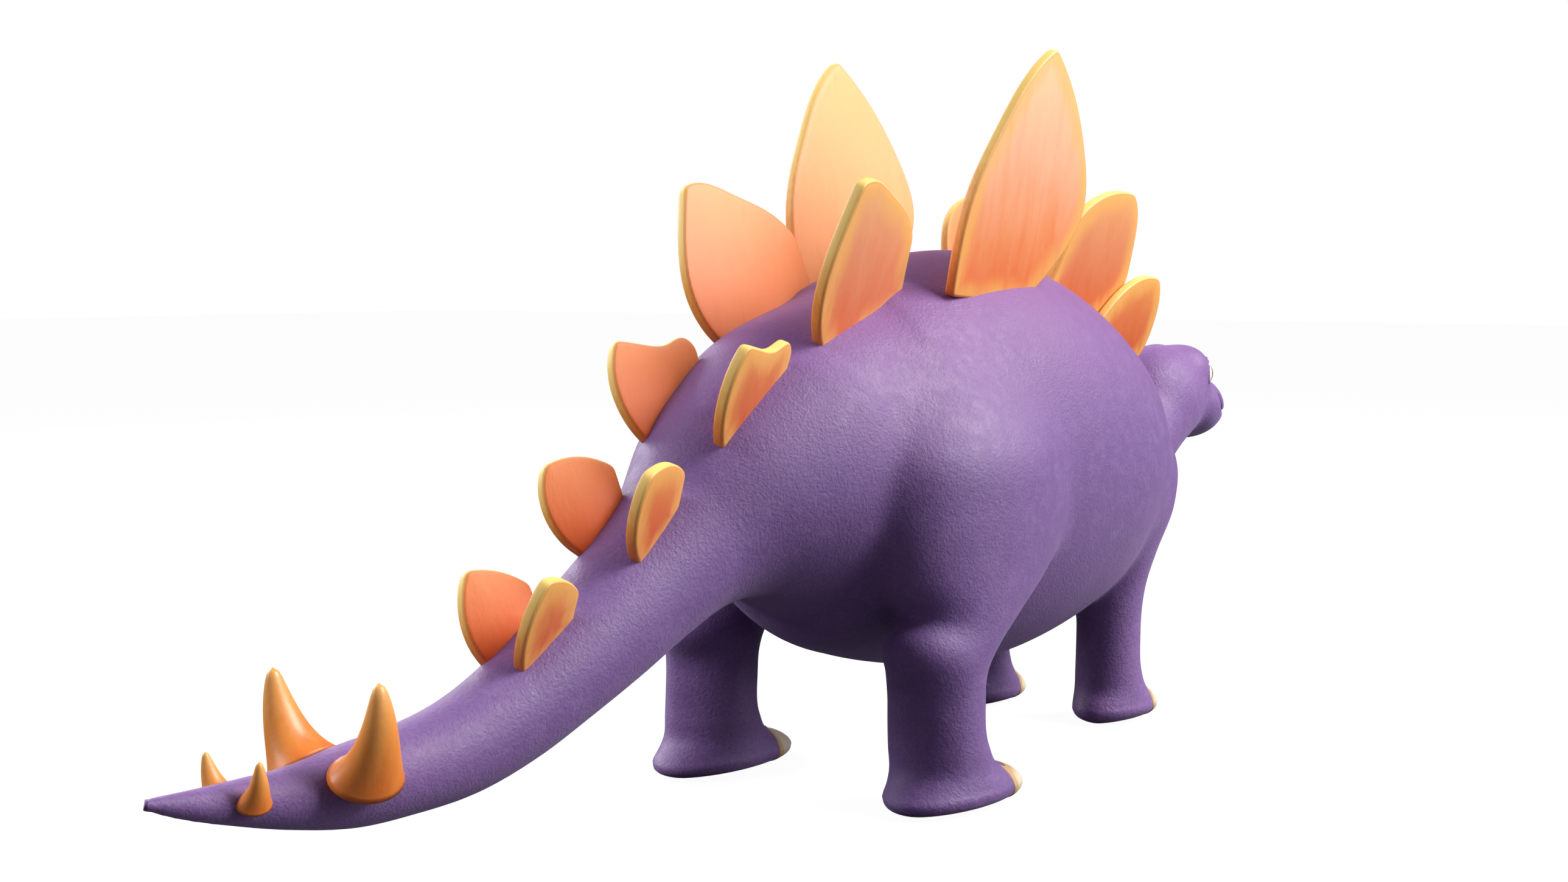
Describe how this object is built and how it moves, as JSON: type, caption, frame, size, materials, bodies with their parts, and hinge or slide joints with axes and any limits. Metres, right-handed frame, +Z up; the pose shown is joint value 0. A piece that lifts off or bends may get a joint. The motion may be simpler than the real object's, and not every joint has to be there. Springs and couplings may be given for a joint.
{
  "type": "stuffed toy dinosaur",
  "caption": "Standing stuffed stegosaurus in suede cloth with stiff back plates, tail spikes and toe caps; tail, neck and head turn on an inner frame.",
  "frame": {"origin": "on the ground in the mirror plane, halfway between the hind and the fore feet", "axes": "+X from the tail to the snout, +Y to the animal's left, +Z up"},
  "size_m": [0.5406, 0.1198, 0.2297],
  "materials": {
    "purple_suede": "fine short-napped suede cloth with a leathery grain",
    "polyester_filling": "loose white polyester fibre filling",
    "plate_cloth": "orange printed cloth glued over stiff board, yellow rim",
    "spike_plastic": "amber polished plastic",
    "toe_cap_vinyl": "cream moulded vinyl with tan shading",
    "eye_plastic": "polished plastic eye; its look is a guess",
    "nylon_frame": "natural nylon",
    "steel_wire": "drawn steel"
  },
  "bodies": {
    "torso": {"torso_skin": "purple_suede", "torso_filling": "polyester_filling", "spine_bar": "nylon_frame", "hind_leg_wire": "steel_wire", "fore_leg_wire": "steel_wire", "hind_leg_skin_left": "purple_suede", "hind_leg_skin_right": "purple_suede", "fore_leg_skin_left": "purple_suede", "fore_leg_skin_right": "purple_suede", "hind_leg_fillings": "polyester_filling", "fore_leg_fillings": "polyester_filling", "hind_leg_toe_caps": "toe_cap_vinyl", "fore_leg_toe_caps": "toe_cap_vinyl", "tail_base_pin": "steel_wire", "neck_pin": "steel_wire", "plate_4_left": "plate_cloth", "plate_4_right": "plate_cloth", "plate_5_left": "plate_cloth", "plate_5_right": "plate_cloth", "plate_6_left": "plate_cloth", "plate_6_right": "plate_cloth", "plate_7_left": "plate_cloth", "plate_7_right": "plate_cloth", "plate_8_left": "plate_cloth", "plate_8_right": "plate_cloth"},
    "tail_base": {"tail_base_skin": "purple_suede", "tail_base_filling": "polyester_filling", "tail_base_link": "nylon_frame", "tail_middle_pin": "steel_wire", "plate_3_left": "plate_cloth", "plate_3_right": "plate_cloth"},
    "tail_middle": {"tail_middle_skin": "purple_suede", "tail_middle_filling": "polyester_filling", "tail_middle_link": "nylon_frame", "tail_rear_pin": "steel_wire", "plate_2_left": "plate_cloth", "plate_2_right": "plate_cloth"},
    "tail_rear": {"tail_rear_skin": "purple_suede", "tail_rear_filling": "polyester_filling", "tail_rear_link": "nylon_frame", "tail_tip_pin": "steel_wire", "plate_1_left": "plate_cloth", "plate_1_right": "plate_cloth"},
    "tail_tip": {"tail_tip_skin": "purple_suede", "tail_tip_filling": "polyester_filling", "tail_tip_link": "nylon_frame", "big_spike_left": "spike_plastic", "big_spike_right": "spike_plastic", "small_spike_left": "spike_plastic", "small_spike_right": "spike_plastic"},
    "neck": {"neck_skin": "purple_suede", "neck_filling": "polyester_filling", "neck_link": "nylon_frame", "head_pin": "steel_wire"},
    "head": {"head_skin": "purple_suede", "head_filling": "polyester_filling", "skull_bar": "nylon_frame", "eye_left": "eye_plastic", "eye_right": "eye_plastic"}
  },
  "joints": [
    {"name": "tail_base_sway", "type": "hinge", "parent": "torso", "child": "tail_base", "pos_m": [-0.142, 0, 0.09933], "axis": [-0.0968, 0, 0.9953], "range_deg": [-12, 12], "stiffness_Nm_per_rad": 0.02},
    {"name": "tail_middle_sway", "type": "hinge", "parent": "tail_base", "child": "tail_middle", "pos_m": [-0.184, 0, 0.08458], "axis": [-0.4798, 0, 0.8774], "range_deg": [-12, 12], "stiffness_Nm_per_rad": 0.016},
    {"name": "tail_rear_sway", "type": "hinge", "parent": "tail_middle", "child": "tail_rear", "pos_m": [-0.228, 0, 0.06066], "axis": [-0.4328, 0, 0.9015], "range_deg": [-12, 12], "stiffness_Nm_per_rad": 0.012},
    {"name": "tail_tip_sway", "type": "hinge", "parent": "tail_rear", "child": "tail_tip", "pos_m": [-0.284, 0, 0.04064], "axis": [-0.1178, 0, 0.993], "range_deg": [-12, 12], "stiffness_Nm_per_rad": 0.008},
    {"name": "neck_turn", "type": "hinge", "parent": "torso", "child": "neck", "pos_m": [0.082, 0, 0.08969], "axis": [-0.2806, 0, 0.9598], "range_deg": [-18, 18], "stiffness_Nm_per_rad": 0.02},
    {"name": "head_nod", "type": "hinge", "parent": "neck", "child": "head", "pos_m": [0.1, 0, 0.09712], "axis": [0, 1, 0], "range_deg": [-12, 12], "stiffness_Nm_per_rad": 0.02}
  ]
}
